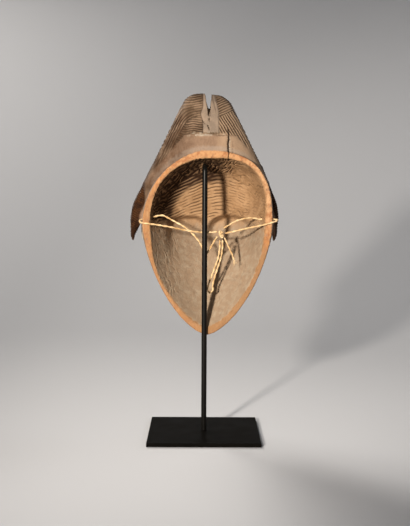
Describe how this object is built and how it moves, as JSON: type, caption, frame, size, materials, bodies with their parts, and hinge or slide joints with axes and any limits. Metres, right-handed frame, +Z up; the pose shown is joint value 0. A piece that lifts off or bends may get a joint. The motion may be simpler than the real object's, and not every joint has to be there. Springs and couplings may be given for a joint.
{
  "type": "punu okuyi mask on a display stand",
  "caption": "Carved wooden face mask with a two-lobed combed coiffure, its hollow tied across with straw cord, held on a prong by a plate-and-rod display stand.",
  "frame": {"origin": "centre of the underside of the stand's plate", "axes": "+Z up along the stand's rod, +Y from the hollow of the mask out through its carved face, +X to the right as the hollow is looked into"},
  "size_m": [0.185, 0.1752, 0.412],
  "materials": {
    "carved_wood": "worn, matte",
    "black_steel": "satin black",
    "straw_cord": "dry twisted plant fibre"
  },
  "bodies": {
    "root": {"mask": "carved_wood", "stand_plate": "black_steel", "stand_rod": "black_steel", "cord_left": "straw_cord", "cord_right": "straw_cord", "cord_loop": "straw_cord", "cord_tail": "straw_cord", "cord_knot": "straw_cord"}
  },
  "joints": []
}
